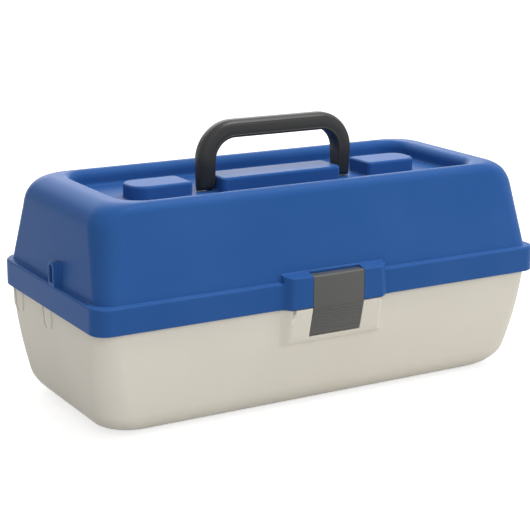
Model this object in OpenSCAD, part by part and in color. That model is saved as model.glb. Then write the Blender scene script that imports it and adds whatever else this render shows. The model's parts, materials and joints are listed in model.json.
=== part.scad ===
// Portable tackle box with a tapered tub, a domed lid with a sunk handle well and
// two cantilever trays that swing up and back as the lid opens.
// Millimetres. +Z is up, the latch faces -Y, and the origin is the centre of the tub's underside.

/* [Body] */
// Length over the band
body_l = 360; // [320:1:432]
// Depth over the band
body_w = 167; // [160:1:200]
// Height of the band's lower edge
band_z = 77.7; // [74:0.1:94]
// Height of the band
band_h = 18.7; // [17:0.1:23]
// Height of the lid above the band
lid_rise = 61.7; // [60:0.1:76]
// Wall thickness of the tub and the lid
wall = 2.4; // [2:0.1:2.9]
// Floor thickness of the tub
floor_t = 2.8; // [2:0.1:3.4]

/* [Tub form] */
// Step from the band's face in to the tub wall
tub_inset = 3.2; // [2.8:0.1:4]
// Taper of the tub's end walls, degrees
tub_draft_end = 7.1; // [4:0.1:9]
// Taper of the tub's front and rear walls, degrees
tub_draft_side = 9.3; // [5:0.1:10]
// Outward swell of the tub walls at mid height
tub_swell = 2; // [0:0.1:3]
// Plan corner radius of the tub
tub_r = 15; // [12:0.5:20]
// Radius where the tub walls turn under
tub_edge_r = 17.2; // [10:0.1:22]
// Width of the pad outside each arm pivot
pad_w = 16; // [14:0.5:20]
// Distance that the pad stands out from the tub's rim
pad_out = 0.6; // [0.4:0.1:0.9]
// Distance from an arm pivot back to the middle of its pad
pad_shift = 5; // [3:0.5:6]

/* [Lid form] */
// Plan corner radius of the band
band_r = 12; // [9:0.5:16]
// Thickness of the band
skirt_t = 2.2; // [1.8:0.1:2.4]
// Radius of the band's upper edge
band_lip_r = 1.7; // [0.8:0.1:1.8]
// Step from the band's face in to the lid's end wall
lid_inset_end = 4.7; // [4:0.1:5.5]
// Step from the band's face in to the lid's front and rear walls
lid_inset_side = 3.5; // [3:0.1:4]
// Taper of the lid's end walls, degrees
lid_draft_end = 5.4; // [4:0.05:8]
// Taper of the lid's front and rear walls, degrees
lid_draft_side = 13.5; // [10:0.1:14]
// Plan corner radius of the lid
lid_r = 13; // [11:0.5:18]
// Radius of the lid's upper edge at the ends
lid_edge_end = 16.5; // [12:0.5:20]
// Radius of the lid's upper edge at the front and rear
lid_edge_side = 6; // [5:0.1:10]

/* [Handle well] */
// Length of the well
well_l = 284; // [240:1:296]
// Depth of the well, front to rear
well_w = 105.6; // [90:0.1:108]
// Plan corner radius of the well
well_r = 17; // [10:1:24]
// Sink of the well below the lid's top
well_sink = 11.6; // [10:0.1:15]
// Radius of the well's rolled rim
well_lip_r = 6; // [2:0.5:6]
// Radius at the foot of the well's walls
well_foot_r = 2.5; // [1:0.5:4]
// Height of the raised blocks in the well
block_h = 10.5; // [8.6:0.1:10.8]
// Width of the raised blocks, front to rear
block_w = 28; // [24:1:34]
// Length of the centre block
centre_block_l = 99; // [80:1:100]
// Length of each side block
side_block_l = 45; // [30:1:50]
// Distance from the centre to the near end of a side block
side_block_x = 73; // [68:1:80]
// Radius of the outer corners of the side blocks
side_block_r = 11; // [6:0.5:11.5]
// Radius of the blocks' upper edges
block_edge_r = 2; // [1:0.25:2.5]

/* [Handle] */
// Width over the handle's legs
handle_w = 127; // [125:0.1:132]
// Height of the grip's top above the lid
handle_rise = 37.9; // [34:0.1:46]
// Thickness of the handle
handle_t = 12.4; // [10:0.1:12.5]
// Depth of the handle, front to rear
handle_d = 13.4; // [12:0.1:16]
// Outer corner radius of the handle
handle_corner_r = 28; // [18:0.5:30]
// Radius of the handle's outer edges
handle_edge_r = 3.4; // [1:0.1:4]
// Radius of the pegs that the handle swings on
peg_r = 2.6; // [2:0.1:2.8]

/* [Latch] */
// Width of the latch
latch_w = 41; // [34:1:50]
// Width over the ears beside the latch
ear_w = 83; // [70:1:96]
// Distance that the ears stand out from the band
ear_out = 4.8; // [4.6:0.1:6]
// Thickness of the latch
latch_t = 2.2; // [1.8:0.1:2.3]
// Reach of the latch below the band
latch_drop = 21; // [18:0.5:22]
// Slope of the latch's lower half, degrees
latch_slope = 13; // [10:1:14]
// Number of grip grooves across the latch
latch_grooves = 8; // [4:1:9]

/* [Tray linkage] */
// Level run of the long arms when the box is shut
arm_run = 99.3; // [96:0.1:101]
// Rise of the long arms when the box is shut
arm_rise = 29; // [28:0.5:31]
// Width of the arms between their eyes
arm_w = 8; // [6:0.5:10]
// Radius of the eyes in the arms
eye_r = 5.5; // [5:0.1:6]
// Thickness of the arms
arm_t = 2.8; // [2.2:0.1:3]
// Spacing of the two arm pivots on each end of the tub
pivot_span = 51.4; // [50:0.1:56]
// Drop of those pivots below the band
pivot_drop = 11.1; // [11:0.1:13]
// Distance of the rear pivots from the tub's rear wall
pivot_inset = 26.4; // [25:0.1:28]
// Radius of the rivets
rivet_r = 2; // [1.6:0.1:2.2]

/* [Trays] */
// Height of each tray
tray_h = 33; // [28:1:34]
// Wall thickness of the trays
tray_wall = 1.8; // [1.4:0.1:2.2]
// Plan radius of the trays' front corners
tray_front_r = 9; // [7:0.5:14]
// Plan radius of the trays' rear corners
tray_rear_r = 8; // [7:0.5:12]
// Width of the bead round each tray's rim
tray_bead = 1; // [0.6:0.1:1.2]
// Plan corner radius of the compartments
cell_r = 3.5; // [3:0.5:4]
// Radius at the foot of the compartments' walls
cell_foot_r = 1.25; // [1:0.25:2]
// Compartments along the front row of the upper tray
upper_front_cells = 4; // [3:1:6]
// Compartments along the rear row of the upper tray
upper_rear_cells = 3; // [2:1:6]
// Compartments along the lower tray
lower_cells = 3; // [2:1:5]

/* [Fits] */
// Gap between faces that pass each other
gap = 0.4; // [0.3:0.05:0.6]
// Radial clearance of a turning pin
run_fit = 0.08; // [0.05:0.01:0.1]
// Radial clearance of a fixed pin
tight_fit = 0.02; // [0.01:0.01:0.03]
// Gap between the layers of the tray linkage
layer_gap = 0.3; // [0.25:0.05:0.4]
// Gap between a loose divider and its ribs
divider_gap = 0.15; // [0.1:0.05:0.25]

/* [Hidden] */
$fn = 48;

blue = [0.19, 0.36, 0.61];
cream = [0.83, 0.8, 0.74];
dark_grey = [0.26, 0.26, 0.25];
mid_grey = [0.39, 0.39, 0.37];
steel = [0.75, 0.75, 0.77];

// How finely the plan corners and the rolled edges are stepped
corner_steps = 12;
roll_steps = 8;
// Growth of the plan corners' radius per mm up the lid and down the tub
corner_grow = 0.1;
// Overrun that makes a cut pass right through a face
over = 1;

// Levels
band_top = band_z + band_h;
lid_top = band_top + lid_rise;
flange_t = 3.1;
flange_z = band_top - flange_t;
rim_gap = 0.3;
tub_rim_z = flange_z - rim_gap;
well_floor = lid_top - well_sink;
ceiling_z = well_floor - wall;
block_top = well_floor + block_h;

// Half sizes of the tub's upright rim and of the lid where it leaves the band
tub_hl = body_l / 2 - tub_inset;
tub_hw = body_w / 2 - tub_inset;
lid_hl = body_l / 2 - lid_inset_end;
lid_hw = body_w / 2 - lid_inset_side;

// Lid hinge
hinge_out = 5.2;
hinge_up = 1.3;
hinge_from_end = 70;
hinge_y = body_w / 2 + hinge_out;
hinge_z = band_z + hinge_up;
hinge_x = body_l / 2 - hinge_from_end;
knuckle_r = 4.2;
lid_knuckle_l = 24;
tub_knuckle_l = 10;
hinge_reach = lid_knuckle_l / 2 + gap + tub_knuckle_l;
hinge_pin_r = 1.5;
pin_head_r = hinge_pin_r + 1.1;
pin_head_t = 1;

// Pivots of the tray linkage, as [y, z]
arm = [-arm_run, arm_rise];
lid_pivot = [hinge_y, hinge_z] + arm;
rear_pivot = [tub_hw - wall - pivot_inset, band_z - pivot_drop];
front_pivot = rear_pivot - [pivot_span, 0];
upper_rear_pin = rear_pivot + arm;
lower_rear_pin = rear_pivot + arm / 2;
lower_front_pin = front_pivot + arm / 2;

// Layers at each end, as distances from the middle
rivet_head_t = 1.2;
rivet_head_r = 3.6;
rivet_tail_t = 0.9;
rivet_tail_r = 3.2;
seat_r = 4.2;
boss_r = seat_r + 1;
arm_room = 7.4;
arm_out = tub_hl - arm_room;
arm_in = arm_out - arm_t;
head_gap = 1.8;
tray_hl = arm_in - layer_gap - rivet_head_t - head_gap;

// Trays
rim_h = 2.6;
tray_draft = 0.8;
tray_foot_r = 2;
row_margin = tray_wall + tray_bead;
tray_room = 8.1;
tray_rear_margin = 1.9;
tray_front = -(tub_hw - wall - tray_room);
tray_rear = lower_rear_pin[0] + seat_r + tray_rear_margin;
tray_w = tray_rear - tray_front;
mid_wall_y = tray_front + tray_w / 2;
row_front = tray_front + row_margin;
row_rear = tray_rear - row_margin;
row_l = 2 * (tray_hl - tray_wall);
pin_depth = 5;
tray_gap = 1;
lower_tray_top = lower_rear_pin[1] + pin_depth;
lower_tray_z = lower_tray_top - tray_h;
upper_tray_z = lower_tray_top + tray_gap;
upper_tray_top = upper_tray_z + tray_h;
divider_t = 1.3;
divider_drop = 3;
rib_w = 1;
rib_h = 1;

// Latch
latch_pin_r = 1.25;
latch_pin_l = 58;
latch_barrel_r = 3.4;
latch_back = 2.6;
ear_face = -(body_w / 2 + ear_out);
ear_slant = 5;
ear_r = 5;
ear_root_r = 2.5;
ear_edge_r = 1;
ear_rise = 0.2;
ear_lean = 1.2;
latch_pin_y = ear_face + latch_barrel_r;
latch_pin_z = band_top;
ear_top = band_top + 3.4;
latch_low = band_z - latch_drop;
boss_z = band_z - 0.5;
boss_low = latch_low - 2.5;
boss_edge_h = 6;
channel_half = latch_w / 2 + gap;
channel_depth = latch_t + 2.6;
catch_z = band_z - 10.5;
catch_depth = latch_t + 0.8;
catch_inset = 4;
hook_depth = latch_t + 1.7;
hook_inset = 5;
groove_r = 1.1;
groove_in = 0.35;
groove_margin = 3;
clip = 4;

// Handle
handle_pivot_z = well_floor + 5.4;
handle_inner_r = 1;
foot_r = 5;
foot_h = 20;
peg_end = centre_block_l / 2 - wall - 1.5;
peg_room = 0.5;

function unit(v) = v / norm(v);

// Corner b = [x, y, radius] of an outline turned into points along its arc
function corner(a, b, c, n) =
    b[2] == 0 ? [[b[0], b[1]]] :
    let (p = [b[0], b[1]], u = unit([a[0], a[1]] - p), v = unit([c[0], c[1]] - p),
        half = acos(u * v) / 2, centre = p + unit(u + v) * b[2] / sin(half),
        first = p + u * b[2] / tan(half) - centre, last = p + v * b[2] / tan(half) - centre,
        start = atan2(first[1], first[0]), turn = atan2(last[1], last[0]) - start,
        sweep = turn > 180 ? turn - 360 : turn < -180 ? turn + 360 : turn)
    [for (k = [0:n]) centre + b[2] * [cos(start + sweep * k / n), sin(start + sweep * k / n)]];

function round_path(p, n = 6) =
    [for (i = [0:len(p) - 1]) each corner(p[(i + len(p) - 1) % len(p)], p[i], p[(i + 1) % len(p)], n)];

// Outline p lifted to height z
function lift(p, z) = [for (q = p) [q[0], q[1], z]];

// Ring of points round a rounded rectangle with half sizes hl and hw
function ring(hl, hw, r, z) =
    [for (c = [0:3], k = [0:corner_steps]) let (a = 90 * (c + k / corner_steps))
        [(c == 0 || c == 3 ? hl - r : r - hl) + r * cos(a), (c < 2 ? hw - r : r - hw) + r * sin(a), z]];

// Points up a convex quarter round of radius r, as [inset, rise]
function quarter(r, n) = [for (k = [0:n]) r * [1 - cos(90 * k / n), sin(90 * k / n)]];
// Points up a hollow quarter round of radius r, as [outset, rise]
function hollow(r, n) = [for (k = [0:n]) r * [1 - sin(90 * k / n), 1 - cos(90 * k / n)]];

// Wall position of the tub at height z, and how far a rounded edge turns in at depth d
function tub_wall(z, draft) =
    let (h = max(0, band_z - z), s = min(1, z / band_z)) -h * tan(draft) + 4 * tub_swell * s * (1 - s);
function turn_in(d, r) = d >= r ? 0 : r - sqrt(max(0, r * r - (r - d) * (r - d)));

// Closed solid through a stack of rings that all have the same number of points
module loft(rings) {
    n = len(rings[0]);
    last = len(rings) - 1;
    polyhedron([for (q = rings) each q], concat(
        [[for (i = [0:n - 1]) i]],
        [for (j = [0:last - 1], i = [0:n - 1]) let (a = j * n + i, b = j * n + (i + 1) % n)
            each [[a, a + n, b], [b, a + n, b + n]]],
        [[for (i = [n - 1:-1:0]) last * n + i]]));
}

module round_rect(l, w, r) {
    square([l - 2 * r, w], center = true);
    square([l, w - 2 * r], center = true);
    for (x = [-1, 1], y = [-1, 1])
        translate([x * (l / 2 - r), y * (w / 2 - r)]) circle(r = r);
}

// Block with rounded plan corners between two heights
module slab(l, w, r, z0, z1) {
    translate([0, 0, z0]) linear_extrude(height = z1 - z0) round_rect(l, w, r);
}

// Extrudes a side view, drawn with y across and z up, from x0 to x1
module side_view(x0, x1) {
    translate([x0, 0, 0]) rotate([90, 0, 90]) linear_extrude(height = x1 - x0) children();
}

// Rod along X at p = [y, z]
module rod(x0, x1, p, r) {
    translate([x0, p[0], p[1]]) rotate([0, 90, 0]) cylinder(r = r, h = x1 - x0);
}

// Runs its children on the right-hand end, or mirrored on the left
module at_end(side) {
    mirror([side < 0 ? 1 : 0, 0, 0]) children();
}

// ---- Tub ----

module tub_form(inset) {
    edge = max(4, tub_edge_r - inset);
    bottom = inset > 0 ? floor_t : 0;
    straight = band_z - bottom - edge;
    heights = concat([for (k = [0:roll_steps]) bottom + edge * (1 - cos(90 * k / roll_steps))],
        [for (k = [1:5]) bottom + edge + straight * k / 5],
        [tub_rim_z + (inset > 0 ? over : 0)]);
    loft([for (z = heights) let (turn = turn_in(z - bottom, edge) + inset)
        ring(tub_hl + tub_wall(z, tub_draft_end) - turn, tub_hw + tub_wall(z, tub_draft_side) - turn,
            tub_r + max(0, band_z - z) * corner_grow - inset, z)]);
}

// The latch's sloping lower half lies along this face, set back by depth
function slope_y(z, depth) = ear_face + depth + max(0, band_z - z) * tan(latch_slope);

// Outline of the boss at height z: a soft S from the tub wall out to the latch's slope
function boss_path(z) =
    let (side = ear_w / 2, wing = side + ear_root_r + 1, wall_y = -(tub_hw + tub_wall(z, tub_draft_side)),
        back = wall_y + wall / 2, root = wall_y + 0.15, fade = max(0, boss_low + 2 - z) / boss_edge_h,
        front = root - (root - slope_y(z, 0)) * sqrt(max(0.002, 1 - fade * fade)))
    round_path([[-wing, back, 0], [-wing, root, 0], [-side, root, ear_root_r],
        [-side + ear_slant, front, ear_r], [side - ear_slant, front, ear_r],
        [side, root, ear_root_r], [wing, root, 0], [wing, back, 0]]);

module latch_boss() {
    low = boss_low + 2 - boss_edge_h;
    loft([for (z = concat([for (k = [0:6]) low + boss_edge_h * (1 - cos(15 * k))], [band_z - 14, boss_z]))
        lift(boss_path(z), z)]);
}

// Channel that the latch drops into, with the catch left standing in it
module latch_channel() {
    low = latch_low - 1;
    catch_half = channel_half - catch_inset;
    difference() {
        side_view(-channel_half, channel_half)
            polygon([[slope_y(low, channel_depth), low], [slope_y(band_z, channel_depth), band_z],
                [slope_y(band_z, channel_depth), band_z + over], [ear_face - 5, band_z + over],
                [ear_face - 5, low]]);
        side_view(-catch_half, catch_half)
            polygon([[slope_y(catch_z, channel_depth) + over, catch_z - 1.6],
                [slope_y(catch_z, catch_depth), catch_z],
                [slope_y(catch_z + 2.2, catch_depth), catch_z + 2.2],
                [slope_y(catch_z + 4, channel_depth) + over, catch_z + 5]]);
    }
}

// Moulded eye of the tub's half of a hinge, on the side view
module tub_eye() {
    web_y = body_w / 2 + 1.2;
    web_top = band_z - 0.7;
    web_low = band_z - 18;
    translate([hinge_y, hinge_z]) circle(r = knuckle_r);
    polygon([[tub_hw - 2, web_low], [tub_hw - 2, web_top], [web_y, web_top], [web_y, hinge_z],
        [hinge_y, hinge_z], [hinge_y + knuckle_r * cos(41), hinge_z - knuckle_r * sin(41)]]);
}

module tub_hinge(x) {
    half = lid_knuckle_l / 2 + gap;
    for (x0 = [x - half - tub_knuckle_l, x + half])
        side_view(x0, x0 + tub_knuckle_l) tub_eye();
}

pad_low = rear_pivot[1] - 6.5;
pad_face = tub_hl + pad_out;
pad_corner_r = 7;
pad_groove_w = 2.6;
pad_groove_in = 6.4;
pad_groove_lean = 3;
pad_groove_d = 1.4;
pad_slit = [4.6, 1.2, 4];

// Upright pad outside the end wall that backs one arm pivot
module pivot_pad(p) {
    y = p[0] + pad_shift;
    half = pad_w / 2;
    back = tub_hl - wall;
    high = band_z + 2;
    intersection() {
        side_view(back - 4, pad_face + over)
            polygon(round_path([[y - half, pad_low, pad_corner_r], [y + half, pad_low, pad_corner_r],
                [y + half, high, 0], [y - half, high, 0]]));
        translate([0, y + pad_w, 0]) rotate([90, 0, 0]) linear_extrude(height = 2 * pad_w)
            polygon([[back - 4, pad_low - over], [pad_face - 2, pad_low - over], [pad_face, p[1] - 2],
                [pad_face, high], [back - 4, high]]);
    }
}

// Core groove down the rear of a pad, with a slit through the wall at its foot
module pad_groove(p) {
    y = p[0] + pad_shift + pad_w / 2 - pad_groove_in;
    low = pad_low + 1;
    high = band_z + 2;
    side_view(pad_face - pad_groove_d, pad_face + over)
        polygon([[y, low], [y + pad_groove_w, low], [y + pad_groove_w + pad_groove_lean, high],
            [y + pad_groove_lean, high]]);
    translate([pad_face - pad_slit[0], y + (pad_groove_w - pad_slit[1]) / 2, low]) cube(pad_slit);
}

module base_tub() {
    pivots = [rear_pivot, front_pivot];
    color(cream) difference() {
        union() {
            difference() {
                union() {
                    tub_form(0);
                    latch_boss();
                    for (s = [-1, 1]) tub_hinge(s * hinge_x);
                    for (s = [-1, 1], p = pivots) at_end(s) pivot_pad(p);
                }
                tub_form(wall);
            }
            for (s = [-1, 1], p = pivots) at_end(s)
                rod(arm_out + layer_gap, tub_hl - wall / 2, p, boss_r);
        }
        latch_channel();
        for (s = [-1, 1])
            rod(s * hinge_x - hinge_reach - over, s * hinge_x + hinge_reach + over, [hinge_y, hinge_z],
                hinge_pin_r + tight_fit);
        for (s = [-1, 1], p = pivots) at_end(s) {
            rod(arm_out - over, tub_hl - 2, p, rivet_r + tight_fit);
            pad_groove(p);
        }
    }
}

// ---- Lid ----

function lid_half_l(z, inset) =
    lid_hl - (z - band_top) * tan(lid_draft_end) - inset
        - turn_in(lid_top - inset - z, lid_edge_end - inset);
function lid_half_w(z, inset) =
    lid_hw - (z - band_top) * tan(lid_draft_side) - inset
        - turn_in(lid_top - inset - z, lid_edge_side - inset);

// Ring of the lid's outer face, or of a face inside it by inset
function lid_ring(z, inset) =
    ring(lid_half_l(z, inset), lid_half_w(z, inset), lid_r + (z - band_top) * corner_grow - inset, z);

// Ring of the band, drawn in by d
function band_ring(d, z) = ring(body_l / 2 - d, body_w / 2 - d, band_r - d, z);

// Heights up the rolled upper edge of the lid's outer or inner face
function roll_heights(inset) =
    let (top = lid_top - inset, wide = lid_edge_end - inset, tight = lid_edge_side - inset)
    concat([for (q = quarter(wide, roll_steps)) if (q[1] < wide - tight - 0.5) top - wide + q[1]],
        [for (q = quarter(tight, roll_steps)) top - tight + q[1]]);

module lid_outer() {
    foot = 0.6;
    loft(concat([band_ring(foot, band_z), band_ring(0, band_z + foot)],
        [for (q = quarter(band_lip_r, 3)) band_ring(q[0], band_top - band_lip_r + q[1])],
        [for (z = concat([band_top], roll_heights(0))) lid_ring(z, 0)]));
}

module lid_inner() {
    seat_hl = tub_hl - wall - 1.2;
    seat_hw = tub_hw - wall;
    slab(body_l - 2 * skirt_t, body_w - 2 * skirt_t, band_r - skirt_t, band_z - over, flange_z);
    loft(concat([for (z = [flange_z - over, band_top]) ring(seat_hl, seat_hw, tub_r - wall, z)],
        [for (z = concat([band_top], roll_heights(wall))) lid_ring(z, wall)]));
}

// Cut for the handle well, with a rolled rim and a soft foot to its walls
module well_cut() {
    hl = well_l / 2;
    hw = well_w / 2;
    rim = quarter(well_lip_r, 5);
    loft(concat([for (q = hollow(well_foot_r, 4))
            ring(hl - q[0], hw - q[0], well_r - q[0], well_floor + q[1])],
        [for (q = rim) ring(hl + q[0], hw + q[0], well_r + q[0], lid_top - well_lip_r + q[1])],
        [ring(hl + well_lip_r, hw + well_lip_r, well_r + well_lip_r, lid_top + over)]));
}

// Outline of a raised block from x0 to x1, drawn in by d
function block_path(x0, x1, near_r, far_r, d) =
    let (half = block_w / 2 - d)
    round_path([[x0 + d, -half, near_r], [x1 - d, -half, far_r - d], [x1 - d, half, far_r - d],
        [x0 + d, half, near_r]]);

module block(x0, x1, near_r, far_r) {
    foot = 1;
    loft(concat([lift(block_path(x0, x1, near_r, far_r, -foot), ceiling_z + wall / 2)],
        [for (q = hollow(foot, 2)) lift(block_path(x0, x1, near_r, far_r, -q[0]), well_floor + q[1])],
        [for (q = quarter(block_edge_r, 4))
            lift(block_path(x0, x1, near_r, far_r, q[0]), block_top - block_edge_r + q[1])]));
}

// Runs its children's spans for the centre block and both side blocks
module blocks() {
    small_r = 3.2;
    block(-centre_block_l / 2, centre_block_l / 2, small_r, small_r + block_edge_r);
    for (s = [-1, 1])
        at_end(s) block(side_block_x, side_block_x + side_block_l, small_r, side_block_r);
}

module block_hollows() {
    half = centre_block_l / 2 - wall;
    translate([0, 0, ceiling_z - over]) linear_extrude(height = block_top - wall - ceiling_z + over) {
        square([2 * half, block_w - 2 * wall], center = true);
        for (s = [0, 1]) mirror([s, 0])
            polygon(block_path(side_block_x, side_block_x + side_block_l, 1, side_block_r, wall));
    }
}

// Outline of the ears in plan, drawn in by d and widened by lean, with or without a soft root
function ear_path(d, root_r, lean = 0) =
    let (back = -(lid_hw - wall / 2), side = ear_w / 2 - d + lean, root = -(body_w / 2 - 0.2), face = ear_face + d,
        wing = root_r > 0 ? root_r + 1 : 0)
    round_path([[-side - wing, back, 0], [-side - wing, root, 0], [-side, root, root_r],
        [-side + ear_slant, face, ear_r - d], [side - ear_slant, face, ear_r - d], [side, root, root_r],
        [side + wing, root, 0], [side + wing, back, 0]]);

// Outline p lifted to height z at the ears' face and rising towards the lid
function ear_lift(p, z) = [for (q = p) [q[0], q[1], z + (q[1] - ear_face) * ear_rise]];

module ears() {
    foot = 0.6;
    loft([lift(ear_path(foot, ear_root_r, ear_lean), band_z),
        lift(ear_path(0, ear_root_r, ear_lean), band_z + foot),
        lift(ear_path(0, ear_root_r), band_top - band_lip_r)]);
    loft(concat([lift(ear_path(0, 0), band_z + foot)],
        [for (q = quarter(ear_edge_r, 3)) ear_lift(ear_path(q[0], 0), ear_top - ear_edge_r + q[1])]));
}

// Room for the latch and its pin between the ears
module latch_room() {
    swing = norm([latch_back, latch_barrel_r]) + gap;
    barrel_low = latch_pin_z - swing;
    translate([-channel_half, ear_face - over, band_z - over])
        cube([2 * channel_half, ear_out + over, ear_top - band_z + 2 * over]);
    translate([-channel_half, ear_face - over, barrel_low])
        cube([2 * channel_half, latch_pin_y + swing - ear_face + over, 2 * swing + ear_out]);
    rod(-latch_pin_l / 2 - over, latch_pin_l / 2 + over, [latch_pin_y, latch_pin_z], latch_pin_r + tight_fit);
}

arch_half = 4.4;
arch_slot_half = 2.8;

// Plan of the arch, or of its slot, on the side view
module arch_view(half, low) {
    translate(lid_pivot) circle(r = half);
    translate([lid_pivot[0] - half, low]) square([2 * half, lid_pivot[1] - low]);
}

module lid_eye() {
    web_in = body_w / 2 - 1;
    web_out = body_w / 2 + 1.5;
    web_top = band_top - 3;
    translate([hinge_y, hinge_z]) circle(r = knuckle_r);
    polygon([[web_in, hinge_z + 1], [web_in, web_top], [web_out, web_top],
        [hinge_y + knuckle_r * cos(30), hinge_z + knuckle_r * sin(30)], [hinge_y, hinge_z]]);
}

module lid_shell() {
    color(blue) difference() {
        union() {
            difference() {
                lid_outer();
                well_cut();
            }
            blocks();
            ears();
            for (s = [-1, 1]) at_end(s)
                side_view(lid_hl - 5, body_l / 2 - 0.4) arch_view(arch_half, band_top - 2);
            for (s = [-1, 1])
                side_view(s * hinge_x - lid_knuckle_l / 2, s * hinge_x + lid_knuckle_l / 2) lid_eye();
        }
        difference() {
            lid_inner();
            slab(well_l + 2 * wall, well_w + 2 * wall, well_r + wall, ceiling_z, lid_top + over);
            for (s = [-1, 1]) at_end(s) rod(tray_hl + 2 * layer_gap, lid_hl, lid_pivot, boss_r);
        }
        block_hollows();
        latch_room();
        for (s = [-1, 1]) {
            rod(s * hinge_x - hinge_reach, s * hinge_x + hinge_reach, [hinge_y, hinge_z],
                hinge_pin_r + run_fit);
            at_end(s) {
                rod(tray_hl - over, lid_hl + 4, lid_pivot, rivet_r + tight_fit);
                side_view(lid_hl - 1.4, body_l / 2 + over) arch_view(arch_slot_half, band_top + 1.6);
                rod(peg_end - peg_room, centre_block_l / 2 + over, [0, handle_pivot_z], peg_r + run_fit);
            }
        }
    }
}

// ---- Handle ----

module handle_section() {
    translate([-handle_t / 2, 0]) {
        round_rect(handle_t, handle_d, handle_edge_r);
        translate([-handle_t / 4, 0]) round_rect(handle_t / 2, handle_d, handle_inner_r);
    }
}

module handle() {
    half = handle_w / 2;
    top = lid_top + handle_rise;
    bend_z = top - handle_corner_r;
    bend_x = half - handle_corner_r;
    low = handle_pivot_z - foot_r;
    side = handle_d / 2 + over;
    color(dark_grey) union() {
        translate([-bend_x, 0, top]) rotate([90, 0, 90]) rotate(90) linear_extrude(height = 2 * bend_x)
            handle_section();
        for (s = [-1, 1]) at_end(s) {
            translate([bend_x, 0, bend_z]) rotate([90, 0, 0]) rotate_extrude(angle = 90)
                translate([handle_corner_r, 0]) handle_section();
            // Leg that narrows to a round foot
            intersection() {
                translate([half, 0, low]) linear_extrude(height = bend_z - low) handle_section();
                side_view(half - 2 * handle_t, half + over) {
                    translate([0, handle_pivot_z]) circle(r = foot_r);
                    polygon([[-foot_r, handle_pivot_z], [foot_r, handle_pivot_z],
                        [side - over + 0.1, handle_pivot_z + foot_h], [side, top], [-side, top],
                        [-side + over - 0.1, handle_pivot_z + foot_h]]);
                }
            }
            rod(peg_end, half - handle_t + 1, [0, handle_pivot_z], peg_r);
        }
    }
}

// ---- Latch ----

module latch() {
    half = latch_w / 2;
    pitch = (latch_drop - groove_margin + 2) / (latch_grooves + 0.5);
    barrel_top = latch_pin_z + latch_barrel_r;
    barrel_back = latch_pin_y + latch_back;
    color(mid_grey) difference() {
        union() {
            side_view(-half, half) {
                translate([latch_pin_y, latch_pin_z]) circle(r = latch_barrel_r);
                polygon(round_path([[ear_face, barrel_top, 1.6], [barrel_back, barrel_top, 0.5],
                    [barrel_back, latch_pin_z - 2, 0], [ear_face + latch_t, latch_pin_z - 4, 2],
                    [slope_y(band_z, latch_t), band_z, 8], [slope_y(latch_low, latch_t), latch_low, 0.6],
                    [slope_y(latch_low, 0), latch_low, 0.6], [slope_y(band_z, 0), band_z, 10]]));
            }
            // Hook that snaps under the catch
            side_view(-half + hook_inset, half - hook_inset)
                polygon([[slope_y(catch_z - 6, latch_t) - 0.6, catch_z - 6.4],
                    [slope_y(catch_z - 5, hook_depth), catch_z - 5],
                    [slope_y(catch_z - 2.6, hook_depth), catch_z - 2.6],
                    [slope_y(catch_z - 0.6, latch_t) - 0.6, catch_z - 0.8]]);
        }
        rod(-half - over, half + over, [latch_pin_y, latch_pin_z], latch_pin_r + run_fit);
        for (k = [0:latch_grooves - 1]) let (z = latch_low + groove_margin + k * pitch)
            rod(-half - over, half + over, [slope_y(z, groove_in - groove_r), z], groove_r);
        // Clipped lower corner
        translate([half, ear_face, latch_low]) rotate([0, 45, 0]) cube([clip, 40, clip], center = true);
    }
}

module latch_pin() {
    color(steel) rod(-latch_pin_l / 2, latch_pin_l / 2, [latch_pin_y, latch_pin_z], latch_pin_r);
}

// ---- Hinge and pivot pins ----

module hinge_pin(side) {
    color(steel) translate([side * hinge_x, 0, 0]) at_end(side) {
        rod(-hinge_reach, hinge_reach, [hinge_y, hinge_z], hinge_pin_r);
        rod(hinge_reach, hinge_reach + pin_head_t, [hinge_y, hinge_z], pin_head_r);
    }
}

module hinge_pin_left() { hinge_pin(-1); }
module hinge_pin_right() { hinge_pin(1); }

module lid_pivot_pin(side) {
    inner = tray_hl - tray_wall;
    tip = lid_hl + 1.6;
    color(blue) at_end(side) difference() {
        union() {
            rod(inner - layer_gap, tip, lid_pivot, rivet_r);
            rod(inner - layer_gap - rivet_head_t, inner - layer_gap, lid_pivot, rivet_tail_r);
        }
        rod(tip - 3, tip + over, lid_pivot, rivet_r / 2);
    }
}

module lid_pivot_pin_left() { lid_pivot_pin(-1); }
module lid_pivot_pin_right() { lid_pivot_pin(1); }

// ---- Arms ----

// Flat link from pivot p along v, with its holes at the given shares of v
module link(p, v, holes) {
    pocket = 1;
    flange = 1.8;
    color(mid_grey) difference() {
        side_view(arm_in, arm_out) translate(p) {
            for (t = holes) translate(v * t) circle(r = eye_r);
            rotate(atan2(v[1], v[0])) translate([0, -arm_w / 2]) square([norm(v), arm_w]);
        }
        for (t = holes) rod(arm_in - over, arm_out + over, p + v * t, rivet_r + run_fit);
        // Sunk seats for the outer heads of the trays' rivets
        for (t = holes) if (t > 0)
            rod(arm_out - rivet_head_t - layer_gap, arm_out + over, p + v * t, rivet_head_r + layer_gap);
        // Long pockets between the eyes, open to the outer face
        for (i = [0:len(holes) - 2])
            let (run = norm(v) * (holes[i + 1] - holes[i]), start = holes[i] * norm(v))
            side_view(arm_out - pocket, arm_out + over) translate(p) rotate(atan2(v[1], v[0]))
                translate([start + eye_r + 3, flange - arm_w / 2])
                    square([run - 2 * eye_r - 6, arm_w - 2 * flange]);
    }
}

module rear_arm(side) { at_end(side) link(rear_pivot, arm, [0, 0.5, 1]); }
module front_arm(side) { at_end(side) link(front_pivot, arm / 2, [0, 1]); }
module rear_arm_left() { rear_arm(-1); }
module rear_arm_right() { rear_arm(1); }
module front_arm_left() { front_arm(-1); }
module front_arm_right() { front_arm(1); }

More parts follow.
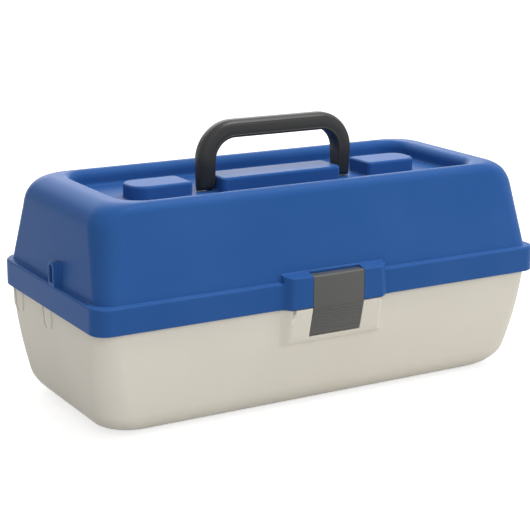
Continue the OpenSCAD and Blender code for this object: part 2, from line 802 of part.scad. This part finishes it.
module base_rivets(side) {
    color(steel) at_end(side) for (p = [rear_pivot, front_pivot]) {
        rod(arm_in - layer_gap - rivet_head_t, arm_in - layer_gap, p, rivet_head_r);
        rod(arm_in - layer_gap - 0.1, tub_hl - 2.2, p, rivet_r);
    }
}

module base_rivets_left() { base_rivets(-1); }
module base_rivets_right() { base_rivets(1); }

// Rivet that holds an arm to a tray's end wall
module tray_rivet(p) {
    inner = tray_hl - tray_wall;
    outer = arm_out - rivet_head_t;
    rod(outer, arm_out, p, rivet_head_r);
    rod(inner, outer + 0.1, p, rivet_r);
    rod(inner - rivet_tail_t, inner, p, rivet_tail_r);
}

module lower_tray_rivets(side) {
    color(steel) at_end(side) for (p = [lower_rear_pin, lower_front_pin]) tray_rivet(p);
}

module upper_tray_rivet(side) { color(steel) at_end(side) tray_rivet(upper_rear_pin); }
module lower_tray_rivets_left() { lower_tray_rivets(-1); }
module lower_tray_rivets_right() { lower_tray_rivets(1); }
module upper_tray_rivet_left() { upper_tray_rivet(-1); }
module upper_tray_rivet_right() { upper_tray_rivet(1); }

// ---- Trays ----

// Outline of a span drawn in by d, with its corner radii from front left round to rear left
function span_path(x0, x1, y0, y1, r, d) =
    round_path([[x0 + d, y0 + d, r[0] - d], [x1 - d, y0 + d, r[1] - d],
        [x1 - d, y1 - d, r[2] - d], [x0 + d, y1 - d, r[3] - d]], 4);

// Tray body from height z up: rounded under, tapered, with a bead round its rim
module tray_body(z) {
    radii = [tray_front_r, tray_front_r, tray_rear_r, tray_rear_r];
    rim_z = z + tray_h - rim_h;
    soft = 0.3;
    levels = concat(
        [for (q = quarter(tray_foot_r, 3)) [tray_bead + tray_draft + tray_foot_r - q[1], z + q[0]]],
        [[tray_bead, rim_z - tray_bead], [0, rim_z], [0, z + tray_h - soft], [soft, z + tray_h]]);
    loft([for (q = levels)
        lift(span_path(-tray_hl, tray_hl, tray_front, tray_rear, radii, q[0]), q[1])]);
}

// Middles of the compartments in a row of the given count
function cell_middles(count) = [for (k = [0:count - 1]) (k + 0.5 - count / 2) * (row_l + tray_wall) / count];

// A row of equal compartments from y0 to y1, cut from floor height z up past top. The row's own
// outer corners have front_r and rear_r.
module cells(count, y0, y1, z, top, front_r, rear_r) {
    half = ((row_l + tray_wall) / count - tray_wall) / 2;
    levels = concat(hollow(cell_foot_r, 3), [[0, top + over - z]]);
    for (k = [0:count - 1])
        let (x = cell_middles(count)[k], first = k == 0, last = k == count - 1,
            radii = [first ? front_r : cell_r, last ? front_r : cell_r, last ? rear_r : cell_r,
                first ? rear_r : cell_r])
        loft([for (q = levels) lift(span_path(x - half, x + half, y0, y1, radii, q[0]), z + q[1])]);
}

// Eye on a tray's end wall that an arm turns against
module tray_seat(p) { rod(tray_hl - 2 * tray_bead, arm_in - layer_gap, p, seat_r); }

// Hole for a rivet, with room for the rivet's tail beside the end wall
module rivet_room(p) {
    rod(tray_hl - tray_wall - over, arm_in + over, p, rivet_r + tight_fit);
    rod(tray_hl - tray_wall - cell_r, tray_hl - tray_wall, p, rivet_tail_r + gap);
}

// Pair of ribs on the facing walls of a compartment that hold one loose divider
module divider_ribs(x, y0, y1, z0, z1) {
    for (s = [-1, 1], y = [y0, y1])
        translate([x + s * (divider_t + rib_w + 2 * divider_gap) / 2 - rib_w / 2, y - rib_h, z0])
            cube([rib_w, 2 * rib_h, z1 - z0]);
}

module lower_tray() {
    floor_z = lower_tray_z + tray_wall;
    pins = [lower_rear_pin, lower_front_pin];
    color(cream) difference() {
        union() {
            tray_body(lower_tray_z);
            for (s = [-1, 1], p = pins) at_end(s) tray_seat(p);
        }
        difference() {
            cells(lower_cells, row_front, row_rear, floor_z, lower_tray_top, tray_front_r - tray_wall,
                tray_rear_r - tray_wall);
            for (x = cell_middles(lower_cells))
                divider_ribs(x, row_front, row_rear, floor_z - over, lower_tray_top - divider_drop);
        }
        for (s = [-1, 1], p = pins) at_end(s) rivet_room(p);
    }
}

module upper_tray() {
    floor_z = upper_tray_z + tray_wall;
    split = mid_wall_y + tray_wall / 2;
    color(cream) difference() {
        union() {
            tray_body(upper_tray_z);
            for (s = [-1, 1]) at_end(s) tray_seat(upper_rear_pin);
        }
        cells(upper_front_cells, row_front, mid_wall_y - tray_wall / 2, floor_z, upper_tray_top,
            tray_front_r - tray_wall, cell_r);
        difference() {
            cells(upper_rear_cells, split, row_rear, floor_z, upper_tray_top, cell_r,
                tray_rear_r - tray_wall);
            for (x = cell_middles(upper_rear_cells))
                divider_ribs(x, split, row_rear, floor_z - over, upper_tray_top - divider_drop);
        }
        for (s = [-1, 1]) at_end(s) {
            rivet_room(upper_rear_pin);
            rod(tray_hl - tray_wall - over, arm_in + over, lid_pivot, rivet_r + run_fit);
        }
    }
}

// Loose dividers across the middles of a row of compartments, clipped at the foot
module dividers(count, y0, y1, z0, z1) {
    a = y0 + divider_gap;
    b = y1 - divider_gap;
    foot = cell_foot_r;
    for (x = cell_middles(count))
        side_view(x - divider_t / 2, x + divider_t / 2)
            polygon([[a, z1], [a, z0 + foot], [a + foot, z0], [b - foot, z0], [b, z0 + foot], [b, z1]]);
}

module lower_tray_dividers() {
    color(cream)
        dividers(lower_cells, row_front, row_rear, lower_tray_z + tray_wall, lower_tray_top - divider_drop);
}

module upper_tray_dividers() {
    color(cream) dividers(upper_rear_cells, mid_wall_y + tray_wall / 2, row_rear, upper_tray_z + tray_wall,
        upper_tray_top - divider_drop);
}

base_tub();
lid_shell();
handle();
latch();
latch_pin();
hinge_pin_left();
hinge_pin_right();
lid_pivot_pin_left();
lid_pivot_pin_right();
rear_arm_left();
rear_arm_right();
front_arm_left();
front_arm_right();
base_rivets_left();
base_rivets_right();
lower_tray();
lower_tray_rivets_left();
lower_tray_rivets_right();
lower_tray_dividers();
upper_tray();
upper_tray_rivet_left();
upper_tray_rivet_right();
upper_tray_dividers();
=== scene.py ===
import bpy
import json
import math
from mathutils import Matrix, Vector


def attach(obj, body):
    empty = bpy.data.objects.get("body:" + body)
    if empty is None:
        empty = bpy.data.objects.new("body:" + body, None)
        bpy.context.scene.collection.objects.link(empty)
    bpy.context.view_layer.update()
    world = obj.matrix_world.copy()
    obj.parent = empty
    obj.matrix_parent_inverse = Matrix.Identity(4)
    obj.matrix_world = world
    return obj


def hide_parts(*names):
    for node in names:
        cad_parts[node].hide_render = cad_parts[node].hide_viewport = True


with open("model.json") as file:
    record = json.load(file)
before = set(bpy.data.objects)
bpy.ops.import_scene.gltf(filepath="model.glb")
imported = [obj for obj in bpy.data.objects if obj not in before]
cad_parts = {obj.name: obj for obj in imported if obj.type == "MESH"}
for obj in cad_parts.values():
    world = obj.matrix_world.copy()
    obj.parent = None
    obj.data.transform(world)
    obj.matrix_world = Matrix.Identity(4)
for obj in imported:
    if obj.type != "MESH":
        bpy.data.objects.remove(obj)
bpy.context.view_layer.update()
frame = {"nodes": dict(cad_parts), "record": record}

cadNodes = frame["nodes"]
mm = 0.001


class Val:  # one socket of a node tree; an expression on it adds Math nodes
    def __init__(self, socket):
        self.socket = socket

    def node(self, kind, settings, inputs, output=0):  # any other node, fed with values or links
        tree = self.socket.id_data
        made = tree.nodes.new(kind)
        for key, value in settings.items():
            setattr(made, key, value)
        for key, value in inputs.items():
            if isinstance(value, Val):
                tree.links.new(value.socket, made.inputs[key])
            else:
                made.inputs[key].default_value = value
        return Val(made.outputs[output])

    def maths(self, operation, *others):
        return self.node("ShaderNodeMath", {"operation": operation}, dict(enumerate([self, *others])))

    def __add__(self, other): return self.maths("ADD", other)
    def __mul__(self, other): return self.maths("MULTIPLY", other)
    def __sub__(self, other): return self.maths("SUBTRACT", other)
    def __radd__(self, other): return self + other
    def __rmul__(self, other): return self * other
    def __rsub__(self, other): return self * -1 + other

    def between(self, low, high):  # 0 at low, 1 at high, eased
        return self.node("ShaderNodeMapRange", {"interpolation_type": "SMOOTHSTEP"},
                         {0: self, 1: low, 2: high})

    def mix(self, first, second):  # colour that goes from first to second as this goes from 0 to 1
        first, second = ((*shade, 1) if isinstance(shade, tuple) else shade for shade in (first, second))
        return self.node("ShaderNodeMix", {"data_type": "RGBA"}, {0: self, 6: first, 7: second}, 2)


def linear(r, g, b):  # an sRGB colour, 0 to 255, as the linear values that a shader takes
    def one(c):
        c /= 255
        return c / 12.92 if c <= 0.04045 else ((c + 0.055) / 1.055) ** 2.4
    return (one(r), one(g), one(b))


def newMaterial(name):
    made = bpy.data.materials.new(name)
    made.use_nodes = True
    shader = made.node_tree.nodes["Principled BSDF"]
    place = Val(made.node_tree.nodes.new("ShaderNodeTexCoord").outputs["Object"])
    return made, shader, place


def feed(shader, inputs):  # links or constants into the shader's own sockets
    for key, value in inputs.items():
        if isinstance(value, Val):
            shader.id_data.links.new(value.socket, shader.inputs[key])
        else:
            shader.inputs[key].default_value = value


def noise(place, scale, detail, roughness=0.5):
    return place.node("ShaderNodeTexNoise", {}, {
        "Vector": place, "Scale": scale, "Detail": detail, "Roughness": roughness})


# How the surface of every moulding is put together
moulding = {
    "cloudDetail": 3, "grainDetail": 2, "grainRoughness": 0.6,
    "speckDetail": 2, "speckScale": 0.22, "speckHeight": 0.6,  # beside the grain's
    "tintFrom": 0.3, "tintTo": 0.7,  # the cloud's values between which the tint comes in
    # the next four values set where rounded edges take the lighter edge colour, which is partly edge wear
    # and partly a painted highlight
    "wearFrom": 0.01, "wearTo": 0.16, "wearLeast": 0.55, "wearSpeck": 0.9, "bevelSamples": 6,
    "cloudGloss": 0.16, "grainGloss": 0.1,  # how far cloud and grain swing the roughness
}


def mouldedPlastic(name, look):
    made, shader, place = newMaterial(name)
    cloud = noise(place, look["cloudScale"], moulding["cloudDetail"])  # slow change of shade
    grain = noise(place, look["grainScale"], moulding["grainDetail"], moulding["grainRoughness"])
    speck = noise(place, look["grainScale"] * moulding["speckScale"], moulding["speckDetail"])
    edge = place.node("ShaderNodeBevel", {"samples": moulding["bevelSamples"]}, {
        "Radius": look["edgeWidth"]})
    flat = place.node("ShaderNodeNewGeometry", {}, {}, "Normal")
    # rounded edges found by the Bevel node get a lighter colour: partly edge wear, partly a painted
    # highlight
    wearAndHighlight = 1 - edge.node("ShaderNodeVectorMath", {"operation": "DOT_PRODUCT"}, {0: edge, 1: flat}, 1)
    wearAndHighlight = wearAndHighlight.between(moulding["wearFrom"], moulding["wearTo"])
    wearAndHighlight = wearAndHighlight * (moulding["wearLeast"] + speck * moulding["wearSpeck"])
    shade = cloud.between(moulding["tintFrom"], moulding["tintTo"]).mix(look["colour"], look["tint"])
    bump = grain.node("ShaderNodeBump", {}, {
        "Strength": look["bump"], "Distance": look["bumpDepth"],
        "Height": grain + speck * moulding["speckHeight"], "Normal": edge})
    gloss = (cloud - 0.5) * moulding["cloudGloss"] + (grain - 0.5) * moulding["grainGloss"]
    feed(shader, {
        # the base colour goes towards the lighter edge colour on rounded edges: edge wear and painted
        # highlight
        "Base Color": (wearAndHighlight * look["edgeShare"]).mix(shade, look["edge"]),
        "Roughness": look["rough"] + gloss, "Normal": bump,
        "IOR": look["ior"], "Specular Tint": (*look["sheenTint"], 1)})
    return made


# each look's edge colour and edgeShare make the rounded edges lighter: partly edge wear, partly a painted
# highlight
blueLook = {
    "colour": linear(45, 88, 150), "tint": linear(51, 93, 155), "edge": linear(98, 137, 194),
    "edgeShare": 0.5, "edgeWidth": 0.8 * mm, "cloudScale": 9, "grainScale": 1500,
    "rough": 0.42, "bump": 0.14, "bumpDepth": 0.12 * mm, "ior": 1.17, "sheenTint": linear(120, 170, 255),
}
creamLook = {
    "colour": linear(231, 226, 213), "tint": linear(227, 221, 207), "edge": linear(240, 237, 230),
    "edgeShare": 0.4, "edgeWidth": 0.7 * mm, "cloudScale": 8, "grainScale": 1500,
    "rough": 0.5, "bump": 0.12, "bumpDepth": 0.12 * mm, "ior": 1.32, "sheenTint": (1, 1, 1),
}
darkLook = {
    "colour": linear(46, 46, 45), "tint": linear(52, 52, 50), "edge": linear(104, 104, 100),
    "edgeShare": 0.35, "edgeWidth": 0.5 * mm, "cloudScale": 14, "grainScale": 1300,
    "rough": 0.4, "bump": 0.2, "bumpDepth": 0.12 * mm, "ior": 1.36, "sheenTint": (1, 1, 1),
}
greyLook = {
    "colour": linear(82, 82, 80), "tint": linear(88, 88, 86), "edge": linear(140, 140, 136),
    "edgeShare": 0.35, "edgeWidth": 0.4 * mm, "cloudScale": 14, "grainScale": 1300,
    "rough": 0.45, "bump": 0.15, "bumpDepth": 0.12 * mm, "ior": 1.38, "sheenTint": (1, 1, 1),
}
armLook = dict(greyLook, colour=linear(84, 84, 82), tint=linear(92, 92, 90))
trayLook = dict(creamLook, colour=linear(216, 211, 199), tint=linear(210, 205, 193))
dividerLook = dict(trayLook, cloudScale=16)

steelLook = {
    "colour": linear(178, 180, 184), "tint": linear(206, 206, 206), "cloudScale": 60, "cloudDetail": 3,
    "drawn": (1, 14, 14), "marksScale": 240, "marksDetail": 2,  # fine marks that run along the pins
    "rough": 0.24, "marksGloss": 0.2, "bump": 0.2, "bumpDepth": 0.05 * mm,
}


def platedSteel(name, look):
    made, shader, place = newMaterial(name)
    cloud = noise(place, look["cloudScale"], look["cloudDetail"])
    drawn = place.node("ShaderNodeMapping", {}, {"Vector": place, "Scale": look["drawn"]})
    marks = noise(drawn, look["marksScale"], look["marksDetail"])
    bump = marks.node("ShaderNodeBump", {}, {
        "Strength": look["bump"], "Distance": look["bumpDepth"], "Height": marks})
    feed(shader, {
        "Base Color": cloud.mix(look["colour"], look["tint"]), "Metallic": 1.0,
        "Roughness": look["rough"] + marks * look["marksGloss"], "Normal": bump})
    return made


finishes = {
    "blue_plastic": mouldedPlastic("blue moulded plastic", blueLook),
    "cream_plastic": mouldedPlastic("cream moulded plastic", creamLook),
    "dark_grey_plastic": mouldedPlastic("dark grey moulded plastic", darkLook),
    "mid_grey_plastic": mouldedPlastic("mid grey moulded plastic", greyLook),
    "arm_plastic": mouldedPlastic("grey arm plastic", armLook),
    "tray_plastic": mouldedPlastic("cream tray plastic", trayLook),
    "divider_plastic": mouldedPlastic("cream divider plastic", dividerLook),
    "steel": platedSteel("plated steel", steelLook),
}
slots = {part["node"]: part["material_slot"] for part in frame["record"]["subparts"]}
bodies = {node: body for body, nodes in frame["record"]["behaviour"]["bodies"].items() for node in nodes}
for node, slot in slots.items():
    for materialSlot in cadNodes[node].material_slots:
        materialSlot.material = finishes[slot]
print("finishes made:", len(finishes))


def deselectAll():
    if bpy.context.object and bpy.context.object.mode != "OBJECT":
        bpy.ops.object.mode_set(mode="OBJECT")
    bpy.ops.object.select_all(action="DESELECT")


def pickFaces(piece, test):  # in edit mode, selects the faces that pass the test and no others
    bpy.ops.mesh.select_mode(type="FACE")
    bpy.ops.mesh.select_all(action="DESELECT")
    bpy.ops.object.mode_set(mode="OBJECT")
    for face in piece.data.polygons:
        face.select = test(face)
    bpy.ops.object.mode_set(mode="EDIT")


def useModifier(piece, kind, **settings):
    made = piece.modifiers.new(kind.lower(), kind)
    for key, value in settings.items():
        setattr(made, key, value)
    bpy.context.view_layer.objects.active = piece
    bpy.ops.object.modifier_apply(modifier=made.name)


def standIn(piece, name, node):  # hands a finished piece to the frame in place of a node
    piece.name = name
    piece.data.name = name
    piece.data.materials.clear()
    piece.data.materials.append(finishes[slots[node]])
    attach(piece, bodies[node])
    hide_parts(node)


# CAD mouldings that get a smooth skin: the new piece's name, and the least angle that stays an edge
skins = {
    "lid_shell": {"name": "lid", "crease": 20},
    "base_tub": {"name": "tub", "crease": 20},
    "latch": {"name": "latchPlate", "crease": 24},
    "lower_tray": {"name": "lowerTray", "crease": 30},
    "upper_tray": {"name": "upperTray", "crease": 30},
    "rear_arm_left": {"name": "rearArmLeft", "crease": 30},
    "rear_arm_right": {"name": "rearArmRight", "crease": 30},
    "front_arm_left": {"name": "frontArmLeft", "crease": 30},
    "front_arm_right": {"name": "frontArmRight", "crease": 30},
}
mergeWithin = 0.004 * mm  # points closer than this are one
flatUnder = 0.05  # degrees between faces that are dissolved into one
faceWeight = 60  # how much a large face draws the shading towards itself


def smoothSkin(node, skin):
    deselectAll()
    piece = bpy.data.objects.new(skin["name"], cadNodes[node].data.copy())
    bpy.context.collection.objects.link(piece)
    piece.select_set(True)
    bpy.context.view_layer.objects.active = piece
    bpy.ops.object.mode_set(mode="EDIT")
    bpy.ops.mesh.select_all(action="SELECT")
    bpy.ops.mesh.remove_doubles(threshold=mergeWithin)
    bpy.ops.mesh.dissolve_limited(angle_limit=math.radians(flatUnder))
    bpy.ops.object.mode_set(mode="OBJECT")
    bpy.ops.object.shade_smooth_by_angle(angle=math.radians(skin["crease"]))
    useModifier(piece, "WEIGHTED_NORMAL", keep_sharp=True, weight=faceWeight)
    standIn(piece, skin["name"], node)
    return piece


pieces = {node: smoothSkin(node, skin) for node, skin in skins.items()}


# The latch's head, above and behind these places, is drawn back to the lid (mm)
latchHead = {"above": 97.0, "behind": -82.6, "reach": 1.1}

for point in pieces["latch"].data.vertices:
    if point.co.z > latchHead["above"] * mm and point.co.y > latchHead["behind"] * mm:
        point.co.y += latchHead["reach"] * mm


# The band's rear corners are rounder than its front ones: the arcs' centres and the added radius (mm)
rearCorners = {"x": 168.0, "y": 71.5, "rounder": 5.0, "under": 96.6}


def roundRearCorners(piece):
    more = rearCorners["rounder"] * mm
    for point in piece.data.vertices:
        out = Vector((abs(point.co.x) - rearCorners["x"] * mm, point.co.y - rearCorners["y"] * mm))
        if min(out) > 0 and point.co.z < rearCorners["under"] * mm:
            shift = out.normalized() * more - Vector((more, more))  # never outwards
            point.co.x += math.copysign(shift.x, -point.co.x)
            point.co.y += shift.y


roundRearCorners(pieces["lid_shell"])
print("mouldings smoothed:", len(skins))


# The handle: one moulding that swings on a peg at each foot (mm and degrees)
grip = {
    "halfWidth": 63.5, "halfDepth": 6.7, "top": 196.0, "bend": 28.0, "bendSteps": 16, "crease": 32,
    "pivotHeight": 151.9, "footRadius": 5.0, "footAngles": (18, 36, 54, 70, 82),
    "pegRadius": 2.6, "pegFrom": 45.6, "pegTo": 52.0, "pegSides": 32, "pegEdge": 0.4, "pegEdgeSteps": 2,
    "legRows": [(164, 6.45), (158, 5.9), (154, 5.3), (151.9, 5.0)],  # height, half depth
    "section": [  # front half of the bar, from the middle of its top: forward, down
        (0, 0), (2.0, 0.02), (3.0, 0.25), (4.2, 0.85), (5.3, 1.6), (6.1, 2.35), (6.38, 2.75),
        (6.16, 2.95), (6.16, 3.2), (6.5, 3.45), (6.7, 4.1), (6.66, 6.5), (6.58, 9.6), (6.42, 10.2),
        (6.42, 10.45), (6.7, 10.7), (6.7, 11.3), (6.35, 12.0), (5.7, 12.4), (0, 12.4)],
}


def drawSection():  # the bar's section at the middle of the handle, as one face
    bpy.ops.mesh.primitive_plane_add(size=mm)
    piece = bpy.context.object
    bpy.ops.object.mode_set(mode="EDIT")
    bpy.ops.mesh.merge(type="CENTER")
    front = [(-forward, -down) for forward, down in grip["section"]]
    outline = front + [(-y, z) for y, z in reversed(front[1:-1])]
    bpy.ops.transform.translate(value=(0, 0, grip["top"] * mm))
    for (y, z), (nextY, nextZ) in zip(outline, outline[1:]):
        step = (0, (nextY - y) * mm, (nextZ - z) * mm)
        bpy.ops.mesh.extrude_region_move(TRANSFORM_OT_translate={"value": step})
    bpy.ops.mesh.select_all(action="SELECT")
    bpy.ops.mesh.edge_face_add()
    return piece


def footRows():  # the rounded end of a leg, as heights and half depths
    angles = [math.radians(a) for a in grip["footAngles"]]
    return [(grip["pivotHeight"] - grip["footRadius"] * math.sin(a), grip["footRadius"] * math.cos(a))
            for a in angles]


def sweepHandle(piece):  # half the bar, one bend and one leg from the section, then the other side
    bendX, bendZ = grip["halfWidth"] - grip["bend"], grip["top"] - grip["bend"]
    bpy.ops.mesh.extrude_region_move(TRANSFORM_OT_translate={"value": (bendX * mm, 0, 0)})
    bpy.ops.mesh.spin(steps=grip["bendSteps"], angle=math.radians(-90),
                      center=(bendX * mm, 0, bendZ * mm), axis=(0, 1, 0))
    height, half = bendZ, grip["halfDepth"]
    for nextHeight, nextHalf in grip["legRows"] + footRows():
        step = (0, 0, (nextHeight - height) * mm)
        bpy.ops.mesh.extrude_region_move(TRANSFORM_OT_translate={"value": step})
        bpy.ops.transform.resize(value=(1, nextHalf / half, 1), center_override=(0, 0, nextHeight * mm))
        height, half = nextHeight, nextHalf
    seam = 0.01 * mm
    pickFaces(piece, lambda face: abs(face.center.x) < seam)
    bpy.ops.mesh.delete(type="ONLY_FACE")
    bpy.ops.object.mode_set(mode="OBJECT")
    useModifier(piece, "MIRROR", use_clip=True, merge_threshold=seam)


def addPeg(piece, side):
    deselectAll()
    bpy.ops.mesh.primitive_cylinder_add(
        vertices=grip["pegSides"], radius=grip["pegRadius"] * mm,
        depth=(grip["pegTo"] - grip["pegFrom"]) * mm,
        location=(side * (grip["pegTo"] + grip["pegFrom"]) / 2 * mm, 0, grip["pivotHeight"] * mm),
        rotation=(0, math.radians(90), 0))
    peg = bpy.context.object
    bpy.ops.object.transform_apply(location=True, rotation=True, scale=True)
    bpy.ops.object.mode_set(mode="EDIT")
    pickFaces(peg, lambda face: abs(face.normal.x) > 0.9)  # the two ends
    bpy.ops.mesh.bevel(offset=grip["pegEdge"] * mm, segments=grip["pegEdgeSteps"])
    bpy.ops.object.mode_set(mode="OBJECT")
    piece.select_set(True)
    bpy.context.view_layer.objects.active = piece
    bpy.ops.object.join()


def makeHandle():
    deselectAll()
    piece = drawSection()
    sweepHandle(piece)
    for side in (-1, 1):
        addPeg(piece, side)
    bpy.ops.object.mode_set(mode="EDIT")
    bpy.ops.mesh.select_all(action="SELECT")
    bpy.ops.mesh.remove_doubles(threshold=mergeWithin)
    bpy.ops.mesh.normals_make_consistent(inside=False)
    bpy.ops.object.mode_set(mode="OBJECT")
    bpy.ops.object.shade_smooth_by_angle(angle=math.radians(grip["crease"]))
    standIn(piece, "grip", "handle")
    return piece


pieces["handle"] = makeHandle()
print("handle made:", len(pieces["handle"].data.vertices), "points")


view = {  # place in mm, angles in degrees, lens and sensor in mm, farthest sight in m
    "place": (-553.46, -925.52, 367.21), "azimuth": -30.549, "elevation": 14.67, "roll": 0.376,
    "lens": 103.03, "sensor": 36, "farthest": 20,
}


def addCamera():
    turn, lift, roll = (math.radians(view[k]) for k in ("azimuth", "elevation", "roll"))
    back = Vector((math.sin(turn) * math.cos(lift), -math.cos(turn) * math.cos(lift), math.sin(lift)))
    right = Vector((math.cos(turn), math.sin(turn), 0))
    up = back.cross(right)
    right, up = right * math.cos(roll) + up * math.sin(roll), up * math.cos(roll) - right * math.sin(roll)
    aim = Matrix((right, up, back)).transposed().to_4x4()
    bpy.ops.object.camera_add()
    camera = bpy.context.object
    camera.name = "camera"
    camera.matrix_world = Matrix.Translation(Vector(view["place"]) * mm) @ aim
    camera.data.lens = view["lens"]
    camera.data.sensor_width = view["sensor"]
    camera.data.clip_end = view["farthest"]
    bpy.context.scene.camera = camera


# Floor and sky: lit plainly, and white wherever they are looked at
studio = {
    "skyLight": 0.38, "skySeen": 1.0, "floorSeen": (0.7, 0.7, 0.7), "unseen": (0, 0, 0),
    "floorColour": linear(196, 196, 196), "floorTint": linear(202, 202, 202), "floorRough": 0.9,
    "cloudScale": 3, "cloudDetail": 2, "floorSize": 12, "floorDrop": 0.05 * mm, "lampsAim": (0, 0, 0.1),
}


def seenDirectly(tree):  # 1 for what the camera, a reflection or a clear material looks at
    paths = tree.nodes.new("ShaderNodeLightPath")
    camera, glossy, clear = (Val(paths.outputs[name]) for name in (
        "Is Camera Ray", "Is Glossy Ray", "Is Transmission Ray"))
    return (camera + glossy + clear).maths("MINIMUM", 1.0)


def addFloor():
    bpy.ops.mesh.primitive_plane_add(size=studio["floorSize"], location=(0, 0, -studio["floorDrop"]))
    floor = bpy.context.object
    floor.name = "floor"
    made, shader, place = newMaterial("pale floor")
    cloud = noise(place, studio["cloudScale"], studio["cloudDetail"])
    feed(shader, {
        "Base Color": cloud.mix(studio["floorColour"], studio["floorTint"]),
        "Roughness": studio["floorRough"],
        "Emission Color": seenDirectly(made.node_tree).mix(studio["unseen"], studio["floorSeen"]),
        "Emission Strength": 1.0})
    floor.data.materials.append(made)


lamps = {  # m and W
    "key": {"at": (-0.65, -1.7, 1.2), "size": 1.6, "watts": 10},
    "fill": {"at": (1.5, -1.2, 0.8), "size": 1.6, "watts": 6},
    "top": {"at": (0.7, -0.3, 2.1), "size": 1.2, "watts": 32},
    "back": {"at": (0.75, 2.3, 1.4), "size": 2.8, "watts": 36},
}


def addLamp(name, lamp):
    bpy.ops.object.light_add(type="AREA", location=lamp["at"])
    light = bpy.context.object
    light.name = name
    light.data.shape = "DISK"
    light.data.size = lamp["size"]
    light.data.energy = lamp["watts"]
    light.visible_camera = False
    aim = Vector(studio["lampsAim"]) - Vector(lamp["at"])
    light.rotation_euler = aim.to_track_quat("-Z", "Y").to_euler()


def addSky():
    world = bpy.data.worlds.new("studio")
    world.use_nodes = True
    bpy.context.scene.world = world
    sky = world.node_tree.nodes["Background"]
    strength = seenDirectly(world.node_tree) * (studio["skySeen"] - studio["skyLight"]) + studio["skyLight"]
    feed(sky, {"Color": (1, 1, 1, 1), "Strength": strength})


addCamera()
addFloor()
for name, lamp in lamps.items():
    addLamp(name, lamp)
addSky()
bpy.context.scene.view_settings.view_transform = "Standard"
print("camera, floor and lights set:", len(lamps), "lamps")
